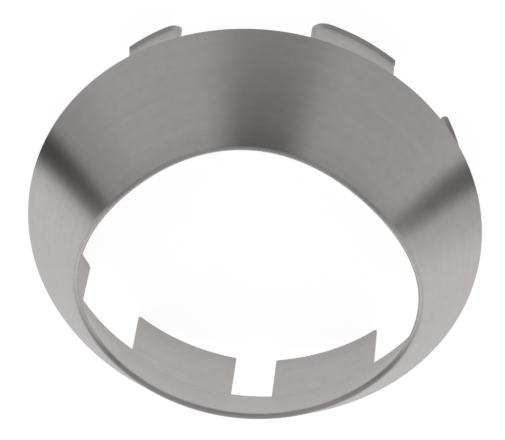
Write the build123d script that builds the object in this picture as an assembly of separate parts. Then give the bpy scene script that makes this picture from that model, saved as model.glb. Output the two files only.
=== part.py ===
from build123d import *
from math import atan, cos, degrees, radians, sin, tan
import os

# Tap cover ring: one piece of folded sheet steel with six claws.
# It stands on its claw tips, with +Z from the claws to the small front edge.
# The outer wall is a cone. At the front edge the sheet folds back into a sleeve, which widens
# into a short collar inside the large rim. The claws are cut from the collar, and their tips
# flare outwards in a narrow lip.
# Azimuths are in degrees, counter-clockwise from +X as seen from the front.

# Driving dimensions, in millimetres and degrees
COLLAR_DIAMETER = 49.8    # collar and claws, inside
RIM_OVERHANG = 3.1        # large rim outside the collar's inner face, on the radius
SHEET = 0.25              # sheet thickness
WALL_ANGLE = 33.0         # slope of the outer wall from the axis
FRONT_HEIGHT = 10.8       # mean height of the front edge above the large rim
FRONT_SLANT = 2.86        # rise and fall of the front edge about its mean
FRONT_LOW = 273.4         # azimuth of the front edge's low side
FRONT_WAVE = 0.6          # three-lobed wave of the front edge, raised at the notch
FOLD_DEPTH = 0.8          # depth at which the two layers part behind the front edge
COLLAR_LENGTH = 1.4       # collar left standing between the claws
CLAW_REACH = 9.2          # claw tips behind the large rim
CLAW_GAP = 22.0           # angle of each gap between the claws of one side
NOTCH_CENTRE = 266.25     # azimuth of the locating notch
NOTCH_WIDTH = 11.9        # angle of the locating notch
NOTCH_CLAW_WIDTH = 31.7   # angle of each claw beside the notch
NOTCH_CLAW_RELIEF = 1.2   # how much shorter those claws are at the notch
SIDE_CLAW_WIDTH = 59.1    # angle of each side claw
RIGHT_CLAW_WIDTH = 25.3   # angle of the right claw opposite the notch
LEFT_CLAW_WIDTH = 17.0    # angle of the left claw opposite the notch
CLAW_CORNER = 2.3         # corner radius of those two claws, on the ends that face each other
LIP_LENGTH = 1.2          # height of the lip above the claw tips
LIP_FLARE = 0.42          # how far the lip stands out at the tips
CURVE_POINTS = 36         # points that carry each curve along the front edge
FOLD_BANDS = 3            # narrow bands that round the fold

# Sizes that follow from them
COLLAR_RADIUS = COLLAR_DIAMETER / 2
RIM_RADIUS = COLLAR_RADIUS + RIM_OVERHANG
RIM_Z = CLAW_REACH
GAP_Z = RIM_Z - COLLAR_LENGTH
SKIN = SHEET / cos(radians(WALL_ANGLE))
FOLD_RADIUS = SHEET

# Angles from the notch centre at which the claws of each side start
NOTCH_CLAW_START = NOTCH_WIDTH / 2
SIDE_CLAW_START = NOTCH_CLAW_START + NOTCH_CLAW_WIDTH + CLAW_GAP
FAR_CLAW_START = SIDE_CLAW_START + SIDE_CLAW_WIDTH + CLAW_GAP
LEFT = -1
RIGHT = 1


def wall_radius(z):
    """Outside radius of the wall at height z."""
    return RIM_RADIUS - (z - RIM_Z) * tan(radians(WALL_ANGLE))


def sleeve_angle():
    """Mean slope of the sleeve from the axis."""
    front_inside = wall_radius(RIM_Z + FRONT_HEIGHT) - 2 * FOLD_RADIUS
    return degrees(atan((COLLAR_RADIUS - front_inside) / FRONT_HEIGHT))


def front_z(azimuth):
    """Height of the front edge."""
    slant = FRONT_SLANT * cos(radians(azimuth - FRONT_LOW))
    wave = FRONT_WAVE * cos(radians(3 * (azimuth - NOTCH_CENTRE)))
    return RIM_Z + FRONT_HEIGHT - slant + wave


def front_curve(inset, depth):
    """Closed curve that follows the front edge, moved in and back."""
    points = []
    for step in range(CURVE_POINTS):
        azimuth = 360 * step / CURVE_POINTS
        z = front_z(azimuth) - depth
        r = wall_radius(z) - inset
        points.append(Vector(r * cos(radians(azimuth)), r * sin(radians(azimuth)), z))
    return Edge.make_spline(points, periodic=True)


def fold_curve(turn):
    """Closed curve along the round of the fold, where the sheet faces this angle above outwards."""
    wall = radians(WALL_ANGLE)
    facing = radians(turn)
    inset = FOLD_RADIUS * (1 / cos(wall) - cos(facing) - sin(facing) * tan(wall))
    return front_curve(inset, FOLD_RADIUS * (1 - sin(facing)))


def fold_curves():
    """Curves from the wall's end of the fold to the sleeve's end."""
    whole_turn = 180 - WALL_ANGLE + sleeve_angle()
    return [fold_curve(WALL_ANGLE + whole_turn * band / FOLD_BANDS) for band in range(FOLD_BANDS + 1)]


def circle(radius, z):
    return Edge.make_circle(radius, Plane.XY.offset(z))


def strip(edge_a, edge_b):
    """Straight-sided band between two closed curves."""
    return Face.make_surface_from_curves(edge_a, edge_b)


def flat_ring(edge_out, edge_in):
    return Face(Wire(edge_out), [Wire(edge_in)])


def folded_wall():
    """Outer wall and sleeve, folded at the front edge and open towards the claws."""
    rim_out = circle(RIM_RADIUS, RIM_Z)
    rim_in = circle(RIM_RADIUS - SKIN, RIM_Z)
    collar_in = circle(COLLAR_RADIUS, RIM_Z)
    collar_out = circle(COLLAR_RADIUS + SHEET, RIM_Z)
    parting = front_curve(SKIN, FOLD_DEPTH)
    in_view = [rim_out, *fold_curves(), collar_in]
    faces = [strip(edge_a, edge_b) for edge_a, edge_b in zip(in_view, in_view[1:])]
    faces += [flat_ring(collar_out, collar_in), strip(collar_out, parting), strip(parting, rim_in),
              flat_ring(rim_out, rim_in)]
    return Solid(Shell(faces))


def collar():
    """Short collar inside the large rim, open at the notch."""
    middle = Pos(COLLAR_RADIUS + SHEET / 2, (GAP_Z + RIM_Z) / 2)
    section = Plane.XZ * middle * Rectangle(SHEET, COLLAR_LENGTH)
    return Rot(Z=NOTCH_CENTRE + NOTCH_WIDTH / 2) * revolve(section, Axis.Z, 360 - NOTCH_WIDTH)


def plain_claw(side, start, width):
    """Claw with its lip on one side of the notch, with its angles counted from the notch centre."""
    inside = [(COLLAR_RADIUS + LIP_FLARE, 0), (COLLAR_RADIUS, LIP_LENGTH), (COLLAR_RADIUS, RIM_Z)]
    outside = [(r + SHEET, z) for r, z in reversed(inside)]
    section = Plane.XZ * make_face(Polyline(*inside, *outside, close=True))
    near = NOTCH_CENTRE + side * start
    far = near + side * width
    return Rot(Z=min(near, far)) * revolve(section, Axis.Z, width)


def notch_claw(side):
    """Claw beside the notch, with its tip sloped up towards the notch."""
    claw = plain_claw(side, NOTCH_CLAW_START, NOTCH_CLAW_WIDTH)
    far = NOTCH_CENTRE + side * (NOTCH_CLAW_START + NOTCH_CLAW_WIDTH)
    slope = degrees(atan(NOTCH_CLAW_RELIEF / (COLLAR_RADIUS * sin(radians(NOTCH_CLAW_WIDTH)))))
    below = Box(4 * RIM_RADIUS, 2 * RIM_RADIUS, RIM_Z, align=(Align.CENTER, Align.CENTER, Align.MAX))
    return claw - Rot(Z=far) * Rot(X=-side * slope) * below


def corner_waste(side):
    """What is cut off a tip corner to round it: a square less a quarter circle, through the sheet."""
    square = Rectangle(CLAW_CORNER, CLAW_CORNER, align=(Align.MIN, Align.MIN))
    waste = extrude(Plane.YZ * (square - Pos(CLAW_CORNER, CLAW_CORNER) * Circle(CLAW_CORNER)), RIM_RADIUS)
    return mirror(waste, Plane.XZ) if side == RIGHT else waste


def far_claw(side, width):
    """Claw opposite the notch, with its far tip corner rounded."""
    far = NOTCH_CENTRE + side * (FAR_CLAW_START + width)
    return plain_claw(side, FAR_CLAW_START, width) - Rot(Z=far) * corner_waste(side)


def cover_ring():
    claws = [far_claw(RIGHT, RIGHT_CLAW_WIDTH), far_claw(LEFT, LEFT_CLAW_WIDTH)]
    for side in (LEFT, RIGHT):
        claws.append(notch_claw(side))
        claws.append(plain_claw(side, SIDE_CLAW_START, SIDE_CLAW_WIDTH))
    return folded_wall().fuse(collar(), *claws)


ring = cover_ring()
ring.label = "cover_ring"
os.makedirs("parts", exist_ok=True)
export_step(ring, "parts/cover_ring.step")
print("cover ring: solids", len(ring.solids()), "volume", round(ring.volume, 1), "valid", ring.is_valid)
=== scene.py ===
# %% [markdown]
# A tap cover ring is one piece of thin steel sheet. A cone-shaped wall shows on the tap. At its
# small front edge the sheet folds back into a sleeve, and the sleeve ends in a collar with six
# claws that grip the tap. This lesson makes that sheet by one rule in Geometry Nodes, gives it
# thickness, and dresses it as brushed steel in a plain white studio. The CAD model is loaded first,
# because the finished ring has to stand where its solid stands.

# %% Load the frame
from math import atan2, radians

import bpy
from mathutils import Matrix, Vector


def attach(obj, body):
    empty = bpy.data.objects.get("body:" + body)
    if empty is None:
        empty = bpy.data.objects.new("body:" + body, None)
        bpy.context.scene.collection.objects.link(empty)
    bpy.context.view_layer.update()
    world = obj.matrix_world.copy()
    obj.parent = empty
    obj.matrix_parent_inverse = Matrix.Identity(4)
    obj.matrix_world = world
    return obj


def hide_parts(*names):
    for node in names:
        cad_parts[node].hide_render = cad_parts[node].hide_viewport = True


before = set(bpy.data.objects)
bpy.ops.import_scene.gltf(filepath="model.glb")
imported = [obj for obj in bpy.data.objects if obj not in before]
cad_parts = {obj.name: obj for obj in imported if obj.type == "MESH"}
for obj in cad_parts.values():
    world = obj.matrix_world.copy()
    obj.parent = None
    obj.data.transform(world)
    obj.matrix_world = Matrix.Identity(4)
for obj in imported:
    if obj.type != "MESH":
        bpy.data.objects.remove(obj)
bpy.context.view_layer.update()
scene = bpy.context.scene
scene.view_settings.view_transform = "Standard"

# %% [markdown]
# The camera comes next, because every later choice is judged through it. The ring is seen from
# above its front edge, on the side opposite the notch, through a long lens. The picture is turned
# half round, with the near side at the top. A camera that is aimed at a target would need that turn
# added, so its three axes and its place are given instead. They were fitted to the large rim, which
# is a true circle.

# %% Camera
CAMERA_RIGHT = (0.995402, -0.051956, -0.080473)
CAMERA_UP = (0.002372, 0.853227, -0.521534)
CAMERA_BACK = (0.095758, 0.518945, 0.849427)
CAMERA_PLACE = (0.039977, 0.218618, 0.364799)
CAMERA_LENS = 242.97        # millimetres, and so is the sensor's width
SENSOR_WIDTH = 36.0


def make_camera():
    data = bpy.data.cameras.new("photo camera")
    data.sensor_fit = "HORIZONTAL"
    data.sensor_width = SENSOR_WIDTH
    data.lens = CAMERA_LENS
    camera = bpy.data.objects.new("photo camera", data)
    scene.collection.objects.link(camera)
    turn = Matrix((CAMERA_RIGHT, CAMERA_UP, CAMERA_BACK)).transposed()
    camera.matrix_world = Matrix.Translation(CAMERA_PLACE) @ turn.to_4x4()
    scene.camera = camera
    print("camera at", CAMERA_PLACE)


make_camera()

# %% [markdown]
# These are the ring's own sizes. Most are those of the CAD model. The front edge and its fold, the
# lip, and the tips and widths of some claws are fitted closer to the photograph here, by about half
# a millimetre or less. Angles along the claws are counted from the middle of the notch, so that the
# two sides of the ring can share them. The last few sizes are small rounds and bends of the finished
# sheet, which the CAD model makes plainer or leaves out.

# %% Sizes of the ring
MM = 0.001
QUARTER_TURN = radians(90.0)
HALF_TURN = radians(180.0)
FULL_TURN = radians(360.0)

SHEET = 0.25 * MM
COLLAR_RADIUS = 24.9 * MM
RIM_OVERHANG = 3.1 * MM
RIM_RADIUS = COLLAR_RADIUS + RIM_OVERHANG
RIM_Z = 9.2 * MM
COLLAR_DEPTH = 1.4 * MM
GAP_Z = RIM_Z - COLLAR_DEPTH
WALL_ANGLE = radians(33.0)
FRONT_HEIGHT = 10.76 * MM   # middle height of the front edge above the rim
FRONT_SLANT = 3.09 * MM     # how far the slant takes the edge below and above that
FRONT_LOW = radians(269.0)  # azimuth where the slant is lowest
FRONT_WAVE = 0.69 * MM
FRONT_LOBES = 3.0           # waves of the front edge in one round
NOTCH_CENTRE = radians(266.25)
NOTCH_WIDTH = radians(11.9)
CLAW_GAP = radians(22.0)    # from the claws beside the notch to the side claws
FAR_GAP = radians(21.1)     # from the side claws to those opposite the notch
NOTCH_CLAW_WIDTH = radians(31.7)
NOTCH_CLAW_RELIEF = 0.9 * MM    # how much higher their tips are at the notch
SIDE_CLAW_WIDTH = radians(59.1)
RIGHT_CLAW_WIDTH = radians(26.2)
LEFT_CLAW_WIDTH = radians(17.9)
CLAW_CORNER = 2.3 * MM      # rounded end of the claws opposite the notch
LIP_LENGTH = 0.65 * MM
LIP_FLARE = 0.52 * MM
LIP_BEND = 0.3              # share of the lip's length that its bend takes

NOSE_RADIUS = 0.42 * MM     # outside of the fold at the front edge
BEND_RADIUS = 0.3 * MM      # inside of the bend between sleeve and collar
NOTCH_CORNER = 0.12 * MM    # tip corners of the claws beside the notch
SIDE_CORNER = 0.45 * MM     # tip corners of the side claws
FAR_CORNER = 0.35 * MM      # sharper tip corner of the claws opposite the notch
BENT_CLAW = 0.45 * MM       # how far the far end of the right side claw is bent out
print("rim across", 2 * RIM_RADIUS, "inside the claws", 2 * COLLAR_RADIUS)

# %% [markdown]
# A Geometry Nodes tree is clearest when its rule reads like a formula. Nodes could be added and
# linked one by one, but then the formula is lost among the links. The small class below wraps a
# socket instead, so that plus, minus and the other signs each add a Math node to the tree. The
# studio's sky uses it too.


# %% Formulas that become nodes
class Field:
    """A number that a node tree works out, at each point of a mesh or in each direction of the sky."""

    def __init__(self, tree, socket):
        self.tree = tree
        self.socket = socket

    def math(self, operation, *others):
        node = self.tree.nodes.new("ShaderNodeMath")
        node.operation = operation
        for index, value in enumerate((self, *others)):
            if isinstance(value, Field):
                self.tree.links.new(value.socket, node.inputs[index])
            else:
                node.inputs[index].default_value = value
        return Field(self.tree, node.outputs[0])

    def __add__(self, other):
        return self.math("ADD", other)

    def __sub__(self, other):
        return self.math("SUBTRACT", other)

    def __mul__(self, other):
        return self.math("MULTIPLY", other)

    def __truediv__(self, other):
        return self.math("DIVIDE", other)

    def __neg__(self):
        return self * -1.0

    def __rsub__(self, number):
        return -self + number

    def size(self):
        """The number without its sign."""
        return self.math("ABSOLUTE")

    def above(self, other):
        """1 where this is greater than the other, else 0."""
        return self.math("GREATER_THAN", other)

    def below(self, other):
        """1 where this is less than the other, else 0."""
        return self.math("LESS_THAN", other)

    def share(self, start, length):
        """How far this has gone from start over length, held between 0 and 1."""
        node = self.tree.nodes.new("ShaderNodeClamp")
        self.tree.links.new(((self - start) / length).socket, node.inputs["Value"])
        return Field(self.tree, node.outputs[0])

    def to(self, end, share):
        """The value that lies this share of the way from here to end."""
        return self + (end - self) * share


def sine(field):
    return field.math("SINE")


def cosine(field):
    return field.math("COSINE")


def new_tree(name, sizes, outputs):
    """A Geometry Nodes tree with named inputs, its inputs as fields, and its output node."""
    tree = bpy.data.node_groups.new(name, "GeometryNodeTree")
    for size in sizes:
        tree.interface.new_socket(size, in_out="INPUT", socket_type="NodeSocketFloat")
    for output, kind in outputs.items():
        tree.interface.new_socket(output, in_out="OUTPUT", socket_type=kind)
    group_in = tree.nodes.new("NodeGroupInput")
    fields = {size: Field(tree, group_in.outputs[size]) for size in sizes}
    return tree, fields, tree.nodes.new("NodeGroupOutput")


# %% [markdown]
# Every claw is a tab on the collar, so one small tree describes them all. A boolean could cut the
# claws out of a whole ring, but it leaves long thin faces, and their edges don't bevel well. Here
# the sheet is a grid of columns, and a claw seldom ends just on a column. So for any angle the tree
# says how far the nearest column has to move to meet the claw's end, which points and faces the
# claw covers, how high its tip is, how far it is bent out and how much of a lip it has. Rounded
# corners gather their columns along the arc, and the tree says where a rounded end is, because the
# lip goes round it.

# %% The rule of one claw
COLUMNS = 720
STEP = FULL_TURN / COLUMNS
CLAW_INPUTS = ["Angle", "Start", "End", "Start Rise", "End Rise", "Start Corner", "End Corner",
               "Start Bent", "End Bent", "Start Lip", "End Lip", "Round End", "Radius"]
CLAW_OUTPUTS = ["Snap", "Covers", "Tip", "Gather", "Bent", "Lip", "Round End"]


def nearest_column(angle):
    return (angle / STEP).math("ROUND") * STEP


def claw_corner(distance, corner):
    """Rise of the tip and sideways move of a column, this far along the tip from a claw's end."""
    turn = distance.share(0.0, corner) * QUARTER_TURN
    rise = corner - corner * sine(turn)
    arc_place = corner - corner * cosine(turn)
    return rise, (arc_place - distance) * distance.below(corner)


def claw_tree():
    tree, size, out = new_tree("claw", CLAW_INPUTS, dict.fromkeys(CLAW_OUTPUTS, "NodeSocketFloat"))
    angle = size["Angle"]
    start_column = nearest_column(size["Start"])
    end_column = nearest_column(size["End"])
    at_start = (angle - start_column).size().below(STEP / 2)
    at_end = (angle - end_column).size().below(STEP / 2)
    snap = (size["Start"] - angle) * at_start + (size["End"] - angle) * at_end
    covers = angle.above(start_column - STEP / 4) * angle.below(end_column + STEP / 4)

    snapped = angle + snap
    along = snapped.share(size["Start"], size["End"] - size["Start"])
    slope = size["Start Rise"].to(size["End Rise"], along)
    start_distance = ((snapped - size["Start"]) * size["Radius"]).math("MAXIMUM", 0.0)
    end_distance = ((size["End"] - snapped) * size["Radius"]).math("MAXIMUM", 0.0)
    start_rise, start_move = claw_corner(start_distance, size["Start Corner"])
    end_rise, end_move = claw_corner(end_distance, size["End Corner"])
    tip = (slope + start_rise + end_rise) * covers
    gather = (start_move - end_move) / size["Radius"] * covers
    bent = size["Start Bent"].to(size["End Bent"], along) * covers
    lip = size["Start Lip"].to(size["End Lip"], along) * covers
    round_end = size["Round End"] * covers
    for name, field in zip(CLAW_OUTPUTS, (snap, covers, tip, gather, bent, lip, round_end)):
        tree.links.new(field.socket, out.inputs[name])
    return tree


CLAW = claw_tree()
print("claw tree with", len(CLAW.nodes), "nodes")

# %% [markdown]
# Three claws stand on each side of the notch, and the two sides are nearly mirror images, so one
# function describes a side. The claws beside the notch slope up towards it and have no lip. On the
# side claws the lip grows away from the notch, and the right one is bent out at its far end. The
# claws opposite the notch differ in width. Each has one rounded end, and a lip all along.

# %% The six claws
NOTCH_CLAW_START = NOTCH_WIDTH / 2
SIDE_CLAW_START = NOTCH_CLAW_START + NOTCH_CLAW_WIDTH + CLAW_GAP
FAR_CLAW_START = SIDE_CLAW_START + SIDE_CLAW_WIDTH + FAR_GAP
FULL_LIP = 1.0
RIGHT = 1
LEFT = -1


def claw_end(corner, rise=0.0, bent=0.0, lip=0.0):
    """What the claw tree has to know of one end of a claw."""
    return {"Corner": corner, "Rise": rise, "Bent": bent, "Lip": lip}


def one_claw(side, start, width, near_end, far_end):
    """Settings of the claw tree. Angles on the left of the notch count backwards."""
    ends = [(side * start, near_end), (side * (start + width), far_end)]
    if side == LEFT:
        ends.reverse()
    claw = {}
    for name, (angle, end) in zip(("Start", "End"), ends):
        claw[name] = angle
        for setting, value in end.items():
            claw[f"{name} {setting}"] = value
    if far_end["Corner"] == CLAW_CORNER:
        claw["Round End"] = side * (start + width)
    return claw


def one_side(side, far_width, side_bent):
    """The three claws on one side of the notch."""
    notch_near = claw_end(NOTCH_CORNER, rise=NOTCH_CLAW_RELIEF)
    notch_far = claw_end(NOTCH_CORNER)
    side_near = claw_end(SIDE_CORNER)
    side_far = claw_end(SIDE_CORNER, bent=side_bent, lip=FULL_LIP)
    square_end = claw_end(FAR_CORNER, lip=FULL_LIP)
    rounded_end = claw_end(CLAW_CORNER, lip=FULL_LIP)
    return [one_claw(side, NOTCH_CLAW_START, NOTCH_CLAW_WIDTH, notch_near, notch_far),
            one_claw(side, SIDE_CLAW_START, SIDE_CLAW_WIDTH, side_near, side_far),
            one_claw(side, FAR_CLAW_START, far_width, square_end, rounded_end)]


CLAWS = one_side(RIGHT, RIGHT_CLAW_WIDTH, BENT_CLAW) + one_side(LEFT, LEFT_CLAW_WIDTH, 0.0)
print("claws", len(CLAWS))

# %% [markdown]
# The sheet's visible face is a grid bent into shape. One direction of the grid goes round the
# ring, and the other follows the section: up the wall, round the fold, down the sleeve, through
# the bend, and along collar, claw and lip. Each stretch has the rows that its curve needs.

# %% Rows of the sheet
STRETCHES = {"wall": 5, "nose": 10, "sleeve": 5, "bend": 4, "collar": 2, "claw": 6, "lip": 8}
ROWS = sum(STRETCHES.values())


def row_shares(row):
    """For each stretch of the section, how far along it a row lies."""
    shares = {}
    first = 0
    for name, count in STRETCHES.items():
        shares[name] = row.share(float(first), float(count))
        first += count
    return shares


def first_row(stretch):
    names = list(STRETCHES)
    return float(sum(STRETCHES[name] for name in names[:names.index(stretch)]))


print("grid of", COLUMNS, "columns and", ROWS, "rows")

# %% [markdown]
# A ring with a level front edge would be one profile spun round the axis. This edge slants and has
# a slight wave, so the profile changes on its way round, and formulas give it at each azimuth. The
# fold is an arc that touches the wall and the sleeve, so that both run into it smoothly. The sleeve
# is straight, down to a small bend where the collar begins.


# %% Section of the sheet
def section(size, azimuth, tip, share):
    """Radius and height of the sheet's visible face at each row of a column, without the lip."""
    slant = size["Front Slant"] * cosine(azimuth - size["Front Low"])
    wave = size["Front Wave"] * cosine((azimuth - size["Notch Centre"]) * FRONT_LOBES)
    front = size["Rim Height"] + size["Front Height"] - slant + wave
    nose = size["Nose Radius"]
    wall = size["Wall Angle"]
    nose_z = front - nose
    wall_r = size["Rim Radius"] - (nose_z - size["Rim Height"]) * wall.math("TANGENT")
    nose_r = wall_r - nose / cosine(wall)

    across = nose_r - size["Collar Radius"]
    up = nose_z - size["Rim Height"]
    reach = (across * across + up * up).math("SQRT")
    facing = up.math("ARCTAN2", across) + QUARTER_TURN + (nose / reach).math("ARCSINE")
    bend = size["Bend Radius"]
    drop = bend * ((facing - HALF_TURN) / 2.0).math("TANGENT")
    bend_r = size["Collar Radius"] - bend
    bend_z = size["Rim Height"] - drop

    nose_turn = wall.to(facing, share["nose"])
    r = size["Rim Radius"].to(nose_r + nose * cosine(nose_turn), share["wall"])
    z = size["Rim Height"].to(nose_z + nose * sine(nose_turn), share["wall"])
    bend_turn = facing.to(HALF_TURN, share["bend"])
    r = r.to(bend_r - bend * cosine(bend_turn), share["sleeve"])
    z = z.to(bend_z - bend * sine(bend_turn), share["sleeve"])
    z = z.to(size["Gap Height"], share["collar"])
    z = z.to(tip + size["Lip Length"], share["claw"])
    z = z.to(tip, share["lip"])
    return r, z


# %% [markdown]
# The lip is the margin of a claw, bent outwards. It could be a last row that is pushed out, but on
# a rounded end the margin runs up the side of the claw. So the formula asks how far a point lies
# inside the claw's outline, whichever way that is.


# %% Lip of a claw
def lip_flare(size, end_distance, z):
    """How far the lip stands out: nothing at its root, then a bend, then straight to the outline."""
    corner = size["Claw Corner"]
    from_end = (corner - end_distance).math("MAXIMUM", 0.0)
    from_tip = (corner - z).math("MAXIMUM", 0.0)
    inside = corner - (from_end * from_end + from_tip * from_tip).math("SQRT")
    near = inside.share(size["Lip Length"], -size["Lip Length"])
    in_bend = (LIP_BEND - near).math("MAXIMUM", 0.0)
    turned = near - LIP_BEND / 2 + in_bend * in_bend / (2 * LIP_BEND)
    return size["Lip Flare"] * turned / (1 - LIP_BEND / 2)


# %% [markdown]
# One Set Position node takes the flat grid's points to the ring. It needs each point's angle and
# row, so these are stored on the points first, because their flat places are gone after the move.
# Then the faces in the notch and between the claws are deleted, and the claws are left standing.

# %% From flat grid to ring
YES = 0.5   # a field that is either 0 or 1 says yes above this


def read_position(tree):
    position = tree.nodes.new("GeometryNodeInputPosition")
    parts = tree.nodes.new("ShaderNodeSeparateXYZ")
    tree.links.new(position.outputs[0], parts.inputs[0])
    return [Field(tree, socket) for socket in parts.outputs]


def keep_number(tree, geometry, name, field):
    """Store a number on the points, and read it back."""
    store = tree.nodes.new("GeometryNodeStoreNamedAttribute")
    store.data_type = "FLOAT"
    store.domain = "POINT"
    store.inputs["Name"].default_value = name
    tree.links.new(geometry, store.inputs["Geometry"])
    tree.links.new(field.socket, store.inputs["Value"])
    read = tree.nodes.new("GeometryNodeInputNamedAttribute")
    read.data_type = "FLOAT"
    read.inputs["Name"].default_value = name
    return store.outputs["Geometry"], Field(tree, read.outputs["Attribute"])


def add_claws(tree, angle, radius):
    """Six claw groups, and the sums of what they say."""
    sums = {}
    for settings in CLAWS:
        node = tree.nodes.new("GeometryNodeGroup")
        node.node_tree = CLAW
        tree.links.new(angle.socket, node.inputs["Angle"])
        tree.links.new(radius.socket, node.inputs["Radius"])
        for name, value in settings.items():
            node.inputs[name].default_value = value
        for output in node.outputs:
            field = Field(tree, output)
            sums[output.name] = sums[output.name] + field if output.name in sums else field
    return sums


def bend_sheet(tree, geometry, size, angle, row, claw):
    """Move the flat grid's points to their places on the ring."""
    share = row_shares(row)
    column = angle + claw["Snap"]
    r, z = section(size, size["Notch Centre"] + column, claw["Tip"], share)
    place = column + claw["Gather"] * share["claw"] * share["claw"]
    end_distance = (place - claw["Round End"]).size() * size["Collar Radius"]
    flare = lip_flare(size, end_distance, z) * share["claw"].math("SQRT")
    low = z.share(size["Gap Height"], -size["Gap Height"])
    r = r + claw["Lip"] * flare + claw["Bent"] * low * low
    azimuth = size["Notch Centre"] + place
    point = tree.nodes.new("ShaderNodeCombineXYZ")
    for axis, field in enumerate((r * cosine(azimuth), r * sine(azimuth), z)):
        tree.links.new(field.socket, point.inputs[axis])
    move = tree.nodes.new("GeometryNodeSetPosition")
    tree.links.new(geometry, move.inputs["Geometry"])
    tree.links.new(point.outputs[0], move.inputs["Position"])
    return move.outputs["Geometry"]


def cut_gaps(tree, geometry, size, angle, row, claw):
    """Delete the faces in the notch and between the claws."""
    in_notch = angle.size().below(nearest_column(size["Notch Width"] / 2.0))
    notch_cut = in_notch * row.above(first_row("collar"))
    gap_cut = claw["Covers"].below(YES) * row.above(first_row("claw"))
    cut = tree.nodes.new("GeometryNodeDeleteGeometry")
    cut.domain = "FACE"
    tree.links.new(geometry, cut.inputs["Geometry"])
    tree.links.new((notch_cut + gap_cut).above(YES).socket, cut.inputs["Selection"])
    return cut.outputs["Geometry"]


# %% [markdown]
# Now one tree puts these steps together, with a named input for each size, so that the ring can
# be changed without a new tree. The two ends of the grid meet opposite the notch and are merged
# there. The tree ends in Realize Instances and Set Material, so that nothing is lost on export.

# %% The tree of the folded sheet
SEAM_REACH = 0.002 * MM
SHEET_INPUTS = {
    "Rim Radius": RIM_RADIUS, "Rim Height": RIM_Z, "Wall Angle": WALL_ANGLE,
    "Front Height": FRONT_HEIGHT, "Front Slant": FRONT_SLANT, "Front Low": FRONT_LOW,
    "Front Wave": FRONT_WAVE, "Notch Centre": NOTCH_CENTRE, "Notch Width": NOTCH_WIDTH,
    "Nose Radius": NOSE_RADIUS, "Bend Radius": BEND_RADIUS, "Collar Radius": COLLAR_RADIUS,
    "Gap Height": GAP_Z, "Lip Length": LIP_LENGTH, "Lip Flare": LIP_FLARE, "Claw Corner": CLAW_CORNER,
}


def sheet_tree(material):
    tree, size, out = new_tree("folded sheet", SHEET_INPUTS, {"Geometry": "NodeSocketGeometry"})
    grid = tree.nodes.new("GeometryNodeMeshGrid")
    grid.inputs["Size X"].default_value = FULL_TURN
    grid.inputs["Size Y"].default_value = float(ROWS)
    grid.inputs["Vertices X"].default_value = COLUMNS + 1
    grid.inputs["Vertices Y"].default_value = ROWS + 1
    x, y, _ = read_position(tree)
    geometry, angle = keep_number(tree, grid.outputs["Mesh"], "angle", x)
    geometry, row = keep_number(tree, geometry, "row", y + ROWS / 2)
    claw = add_claws(tree, angle, size["Collar Radius"])
    geometry = bend_sheet(tree, geometry, size, angle, row, claw)
    geometry = cut_gaps(tree, geometry, size, angle, row, claw)

    merge = tree.nodes.new("GeometryNodeMergeByDistance")
    merge.inputs["Distance"].default_value = SEAM_REACH
    smooth = tree.nodes.new("GeometryNodeSetShadeSmooth")
    realize = tree.nodes.new("GeometryNodeRealizeInstances")
    finish = tree.nodes.new("GeometryNodeSetMaterial")
    finish.inputs["Material"].default_value = material
    tree.links.new(geometry, merge.inputs["Geometry"])
    tree.links.new(merge.outputs["Geometry"], smooth.inputs[0])
    tree.links.new(smooth.outputs[0], realize.inputs["Geometry"])
    tree.links.new(realize.outputs["Geometry"], finish.inputs["Geometry"])
    tree.links.new(finish.outputs["Geometry"], out.inputs["Geometry"])
    print("sheet tree with", len(tree.nodes), "nodes")
    return tree


# %% [markdown]
# The steel, the floor and the cards are materials, which are node trees too. Their nodes have many
# kinds of inputs, with names, so signs are no help here. Instead one call makes a node, and sets or
# links its inputs.

# %% A short way to make shader nodes
NOISE_RANGE = (0.25, 0.75)  # where most values of a noise lie


class Shading:
    """A material's nodes, with short ways to add more."""

    def __init__(self, name):
        self.material = bpy.data.materials.new(name)
        self.material.use_nodes = True
        self.nodes = self.material.node_tree.nodes
        self.links = self.material.node_tree.links

    def node(self, kind, operation=None, **inputs):
        """A node, with sockets linked to its inputs or values set on them. _0 is the first input."""
        made = self.nodes.new(kind)
        if operation:
            made.operation = operation
        for name, value in inputs.items():
            socket = made.inputs[int(name[1:])] if name.startswith("_") else made.inputs[name]
            if isinstance(value, bpy.types.NodeSocket):
                self.links.new(value, socket)
            else:
                socket.default_value = value
        return made

    def math(self, operation, *values):
        inputs = {f"_{index}": value for index, value in enumerate(values)}
        return self.node("ShaderNodeMath", operation, **inputs).outputs[0]

    def noise(self, place, detail):
        made = self.node("ShaderNodeTexNoise", Vector=place, Scale=1.0, Detail=detail)
        return made.outputs["Fac"]

    def ranged(self, value, **limits):
        """Map a value by limits such as From_Max and To_Min."""
        made = self.node("ShaderNodeMapRange", Value=value)
        for name, number in limits.items():
            made.inputs[name.replace("_", " ")].default_value = number
        return made

    def spread(self, noise, middle, reach):
        """Map most of a noise to the numbers within reach of a middle."""
        low, high = NOISE_RANGE
        made = self.ranged(noise, From_Min=low, From_Max=high,
                           To_Min=middle - reach, To_Max=middle + reach)
        return made.outputs[0]


# %% [markdown]
# Brushed steel gets its look from fine scratches that all run one way, here round the axis. They
# spread a reflection across themselves, so light and dark stripes run from rim to front edge. Many
# thin lines in the bump could do that only at a great number of samples, so the shader's anisotropy
# does it. Two noises stretched round the axis add single scratches and wider streaks, and a slow
# noise adds faint clouds. All three tint the colour, and the scratches also vary the roughness and
# the bump.

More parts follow.
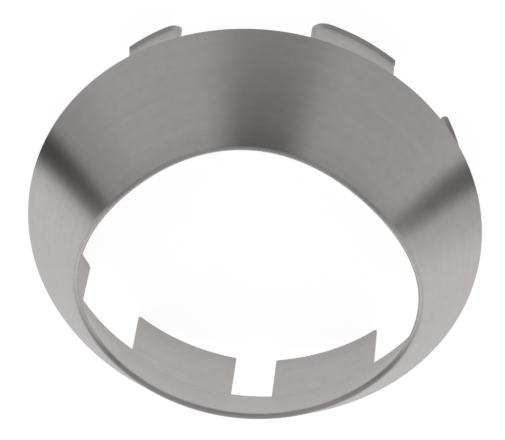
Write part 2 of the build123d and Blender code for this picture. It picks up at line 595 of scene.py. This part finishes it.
# %% Brushed steel
STEEL_COLOUR = (0.55, 0.528, 0.519)
STEEL_ROUGHNESS = 0.38
ROUGHNESS_SPREAD = 0.05
COLOUR_SPREAD = 0.1
STEEL_ANISOTROPY = 0.9
BRUSH_TURN = 0.25           # a quarter turn, so that reflections spread across the scratches
SCRATCHES = (14.0, 9000.0)  # how quickly the scratches change round the ring, and along the axis
STREAKS = (2.0, 1800.0)
CLOUDS = 900.0              # clouds for each metre
FINE_DETAIL = 3.0
SOFT_DETAIL = 2.0
SCRATCH_SHARE = 0.4         # how much of the tint each noise makes
STREAK_SHARE = 0.3
CLOUD_SHARE = 0.3
BUMP_HEIGHT = 0.0006 * MM


def brush_place(shading, round_rate, axis_rate):
    """Coordinates stretched round the axis: slow with the azimuth and quick with the height."""
    place = shading.node("ShaderNodeTexCoord").outputs["Object"]
    parts = shading.node("ShaderNodeSeparateXYZ", _0=place)
    flat = shading.node("ShaderNodeCombineXYZ", X=parts.outputs["X"], Y=parts.outputs["Y"])
    direction = shading.node("ShaderNodeVectorMath", "NORMALIZE", _0=flat.outputs[0])
    slow = shading.node("ShaderNodeVectorMath", "SCALE", _0=direction.outputs[0], Scale=round_rate)
    height = shading.math("MULTIPLY", parts.outputs["Z"], axis_rate)
    lift = shading.node("ShaderNodeCombineXYZ", Z=height)
    return shading.node("ShaderNodeVectorMath", "ADD", _0=slow.outputs[0], _1=lift.outputs[0]).outputs[0]


def cloud_place(shading):
    place = shading.node("ShaderNodeTexCoord").outputs["Object"]
    return shading.node("ShaderNodeVectorMath", "SCALE", _0=place, Scale=CLOUDS).outputs[0]


def brushed_steel():
    steel = Shading("brushed steel")
    shader = steel.nodes["Principled BSDF"]
    shader.inputs["Metallic"].default_value = 1.0
    shader.inputs["Anisotropic"].default_value = STEEL_ANISOTROPY
    shader.inputs["Anisotropic Rotation"].default_value = BRUSH_TURN
    tangent = steel.node("ShaderNodeTangent")
    tangent.direction_type = "RADIAL"
    tangent.axis = "Z"
    steel.links.new(tangent.outputs[0], shader.inputs["Tangent"])

    scratches = steel.noise(brush_place(steel, *SCRATCHES), FINE_DETAIL)
    streaks = steel.noise(brush_place(steel, *STREAKS), SOFT_DETAIL)
    clouds = steel.noise(cloud_place(steel), SOFT_DETAIL)
    mixed = steel.math("MULTIPLY", scratches, SCRATCH_SHARE)
    for noise, noise_share in ((streaks, STREAK_SHARE), (clouds, CLOUD_SHARE)):
        mixed = steel.math("ADD", mixed, steel.math("MULTIPLY", noise, noise_share))
    shade = steel.spread(mixed, 1.0, COLOUR_SPREAD)
    tint = steel.node("ShaderNodeVectorMath", "SCALE", _0=STEEL_COLOUR, Scale=shade)
    steel.links.new(tint.outputs[0], shader.inputs["Base Color"])
    rough = steel.spread(scratches, STEEL_ROUGHNESS, ROUGHNESS_SPREAD)
    steel.links.new(rough, shader.inputs["Roughness"])
    bump = steel.node("ShaderNodeBump", Height=scratches, Strength=1.0, Distance=BUMP_HEIGHT)
    steel.links.new(bump.outputs[0], shader.inputs["Normal"])
    print("steel with", len(steel.nodes), "nodes")
    return steel.material


STEEL = brushed_steel()

# %% [markdown]
# The tree gives a face without thickness. Solidify adds the sheet's thickness on its hidden side,
# and Bevel takes the sharpness off the cut edges, as deburring does. The tree could offset the face
# itself, but Solidify also closes the edges of the claws and keeps the thickness even in the fold.
# The result becomes a plain mesh, which stands for the CAD solid.

# %% The ring
HIDDEN_SIDE = -1.0
EDGE_ROUND = 0.06 * MM
EDGE_SEGMENTS = 2
EDGE_ANGLE = radians(50.0)  # only the cut edges turn by more than this


def set_inputs(modifier, values):
    """Set a modifier's named inputs, which it keeps under the sockets' identifiers."""
    for item in modifier.node_group.interface.items_tree:
        if item.item_type == "SOCKET" and item.in_out == "INPUT" and item.name in values:
            modifier[item.identifier] = values[item.name]


def plain_mesh(maker, name):
    """The evaluated maker as a new mesh object without modifiers."""
    depsgraph = bpy.context.evaluated_depsgraph_get()
    mesh = bpy.data.meshes.new_from_object(maker.evaluated_get(depsgraph), depsgraph=depsgraph)
    mesh.name = name
    bpy.data.objects.remove(maker)
    piece = bpy.data.objects.new(name, mesh)
    scene.collection.objects.link(piece)
    return piece


def make_ring():
    maker = bpy.data.objects.new("ring maker", bpy.data.meshes.new("ring maker"))
    scene.collection.objects.link(maker)
    nodes = maker.modifiers.new("folded sheet", "NODES")
    nodes.node_group = sheet_tree(STEEL)
    set_inputs(nodes, SHEET_INPUTS)
    thick = maker.modifiers.new("thickness", "SOLIDIFY")
    thick.thickness = SHEET
    thick.offset = HIDDEN_SIDE
    thick.use_even_offset = True
    edge = maker.modifiers.new("deburred edges", "BEVEL")
    edge.width = EDGE_ROUND
    edge.segments = EDGE_SEGMENTS
    edge.limit_method = "ANGLE"
    edge.angle_limit = EDGE_ANGLE
    edge.harden_normals = True
    return plain_mesh(maker, "cover_ring_steel")


ring = make_ring()
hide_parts("cover_ring")
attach(ring, "root")
print("ring faces", len(ring.data.polygons))

# %% [markdown]
# The studio's floor is white and reaches far past the picture. A matt floor alone would be grey in
# this soft light, and more light would change the steel. So the floor also glows, but only for the
# camera and in reflections, and its matt part keeps the ring's faint shadow. In the steel the glow
# has a painted shadow beside the claws, a little darker, where the ring would shade a real floor.

# %% Floor
FLOOR_SIZE = 4.0
FLOOR_GLOW = 0.9
FLOOR_COLOUR = 0.3
FLOOR_PAINTED_SHADE = 0.74             # level of the painted shadow on the floor just beside the claws, as the steel shows it
PAINTED_SHADE_REACH = 6.0 * MM         # how far from the claws that painted shadow goes


def floor_level(shading):
    """Glow of the floor: white for the camera, and darkened by a painted shadow beside the claws for the
    steel.
    """
    place = shading.node("ShaderNodeNewGeometry").outputs["Position"]
    parts = shading.node("ShaderNodeSeparateXYZ", _0=place)
    flat = shading.node("ShaderNodeCombineXYZ", X=parts.outputs["X"], Y=parts.outputs["Y"])
    radius = shading.node("ShaderNodeVectorMath", "LENGTH", _0=flat.outputs[0]).outputs["Value"]
    away = shading.math("ABSOLUTE", shading.math("SUBTRACT", radius, COLLAR_RADIUS + LIP_FLARE))
    # painted shadow: in reflections the floor's glow is darker near the claws
    shaded = shading.ranged(away, From_Max=PAINTED_SHADE_REACH, To_Min=FLOOR_PAINTED_SHADE)
    shaded.interpolation_type = "SMOOTHSTEP"
    path = shading.node("ShaderNodeLightPath")
    in_steel = shading.math("MULTIPLY", path.outputs["Is Glossy Ray"], shaded.outputs[0])
    seen = shading.math("MAXIMUM", path.outputs["Is Camera Ray"], path.outputs["Is Transmission Ray"])
    return shading.math("MULTIPLY", shading.math("MAXIMUM", seen, in_steel), FLOOR_GLOW)


def floor_white():
    white = Shading("white floor")
    white.nodes.clear()
    matt = white.node("ShaderNodeBsdfDiffuse", Color=(FLOOR_COLOUR, FLOOR_COLOUR, FLOOR_COLOUR, 1.0))
    glow = white.node("ShaderNodeEmission", Strength=floor_level(white))
    both = white.node("ShaderNodeAddShader", _0=matt.outputs[0], _1=glow.outputs[0])
    white.node("ShaderNodeOutputMaterial", Surface=both.outputs[0])
    return white.material


def add_stage(name, corners, material):
    """A flat four-sided piece of the studio."""
    mesh = bpy.data.meshes.new(name)
    mesh.from_pydata(corners, [], [(0, 1, 2, 3)])
    mesh.materials.append(material)
    piece = bpy.data.objects.new(name, mesh)
    scene.collection.objects.link(piece)
    return piece


def make_floor():
    half = FLOOR_SIZE / 2
    corners = [(-half, -half, 0.0), (half, -half, 0.0), (half, half, 0.0), (-half, half, 0.0)]
    add_stage("floor", corners, floor_white())


make_floor()
print("floor", FLOOR_SIZE, "m wide")

# %% [markdown]
# Brushed metal looks flat in an all-white studio, so photographers stand dark cards around it.
# Three cards here give the dark stripes on the wall, and two thin veils darken it gently beside the
# stripes at the sides. Plain black cards would give the stripes hard sides, so each card fades out
# towards its own sides. They show in the steel alone: the camera doesn't see them and they cast no
# shadow.

# %% Cards
CARD_SHADE = 0.02
CARD_HALF = 0.5                # half a card's width, in shares of the width
# Places and sizes of the cards are in millimetres, and cover and solid are shares.
SIDE_CARD = {"low": 0.0, "high": 22.0}
BACK_CARD = {"low": 12.0, "high": 80.0}
CARDS = {
    "right card": {"middle": (39.6, 4.6), "width": 10.8, "cover": 0.82, "solid": 0.25, **SIDE_CARD},
    "left card": {"middle": (-38.35, 10.4), "width": 11.4, "cover": 1.0, "solid": 0.25, **SIDE_CARD},
    "right veil": {"middle": (40.0, -1.5), "width": 24.0, "cover": 0.3, "solid": 0.0, **SIDE_CARD},
    "left veil": {"middle": (-36.8, 15.7), "width": 34.0, "cover": 0.34, "solid": 0.0, **SIDE_CARD},
    "back card": {"middle": (8.5, 63.5), "width": 66.0, "cover": 1.0, "solid": 0.26, **BACK_CARD},
}


def card_black(cover, solid):
    """Black that hides this much of what is behind a card, and fades out beside its solid middle."""
    black = Shading("black card")
    black.nodes.clear()
    place = black.node("ShaderNodeTexCoord").outputs["Generated"]
    across = black.node("ShaderNodeSeparateXYZ", _0=place).outputs["X"]
    off_middle = black.math("ABSOLUTE", black.math("SUBTRACT", across, CARD_HALF))
    dark = black.ranged(off_middle, From_Min=CARD_HALF, From_Max=CARD_HALF * solid, To_Max=cover)
    dark.interpolation_type = "SMOOTHSTEP"
    clear = black.node("ShaderNodeBsdfTransparent")
    matt = black.node("ShaderNodeBsdfDiffuse", Color=(CARD_SHADE, CARD_SHADE, CARD_SHADE, 1.0))
    mixed = black.node("ShaderNodeMixShader",
                       _0=dark.outputs[0], _1=clear.outputs[0], _2=matt.outputs[0])
    black.node("ShaderNodeOutputMaterial", Surface=mixed.outputs[0])
    return black.material


def make_card(name, middle, width, low, high, cover, solid):
    """An upright card that faces the ring's axis, with its place and sizes in millimetres."""
    half = width / 2 * MM
    low, high = low * MM, high * MM
    corners = [(-half, 0.0, low), (half, 0.0, low), (half, 0.0, high), (-half, 0.0, high)]
    card = add_stage(name, corners, card_black(cover, solid))
    card.location = Vector((*middle, 0.0)) * MM
    card.rotation_euler.z = atan2(-middle[0], middle[1])
    card.visible_camera = False
    card.visible_diffuse = False
    card.visible_shadow = False


for card_name, card_sizes in CARDS.items():
    make_card(card_name, **card_sizes)
print("cards", list(CARDS))

# %% [markdown]
# The sky lights the studio. Lamps would leave bright spots in the steel, and an even sky would
# leave it flat. So the sky is a dim grey with two soft shapes in it: a weak wide light above, and a
# white backdrop behind the ring, on the side of the notch. To the camera it is white all round.

# %% Sky
SKY_LEVEL = 0.295
LIGHT_LEVEL = 0.5
BACKDROP_LEVEL = 1.0
LIGHT_FROM = (-0.05, 0.35, 0.94)
LIGHT_EDGE = (0.6, 0.95)       # where the soft light begins and is full, as cosines from its middle
BACKDROP_EDGE = (0.0, -0.3)    # where the backdrop begins and is full, along Y in a direction
BACKDROP_TOP = (0.75, 0.35)    # where it ends and where it is full, along Z in a direction


def between(field, start, end):
    """How far a field has gone from start to end, with a gentle start and end."""
    share = field.share(start, end - start)
    return share * share * (3.0 - share * 2.0)


def make_sky():
    world = bpy.data.worlds.new("studio")
    world.use_nodes = True
    scene.world = world
    tree = world.node_tree
    direction = tree.nodes.new("ShaderNodeTexCoord")
    parts = tree.nodes.new("ShaderNodeSeparateXYZ")
    tree.links.new(direction.outputs["Generated"], parts.inputs[0])
    x, y, z = [Field(tree, socket) for socket in parts.outputs]
    from_x, from_y, from_z = Vector(LIGHT_FROM).normalized()
    light = between(x * from_x + y * from_y + z * from_z, *LIGHT_EDGE)
    backdrop = between(y, *BACKDROP_EDGE) * between(z, *BACKDROP_TOP)
    light_gain = light * (LIGHT_LEVEL - SKY_LEVEL)
    backdrop_gain = backdrop * (BACKDROP_LEVEL - SKY_LEVEL)
    level = light_gain.math("MAXIMUM", backdrop_gain) + SKY_LEVEL
    path = tree.nodes.new("ShaderNodeLightPath")
    shown = level.math("MAXIMUM", Field(tree, path.outputs["Is Camera Ray"]))
    tree.links.new(shown.socket, tree.nodes["Background"].inputs["Color"])
    print("sky with", len(tree.nodes), "nodes")


make_sky()
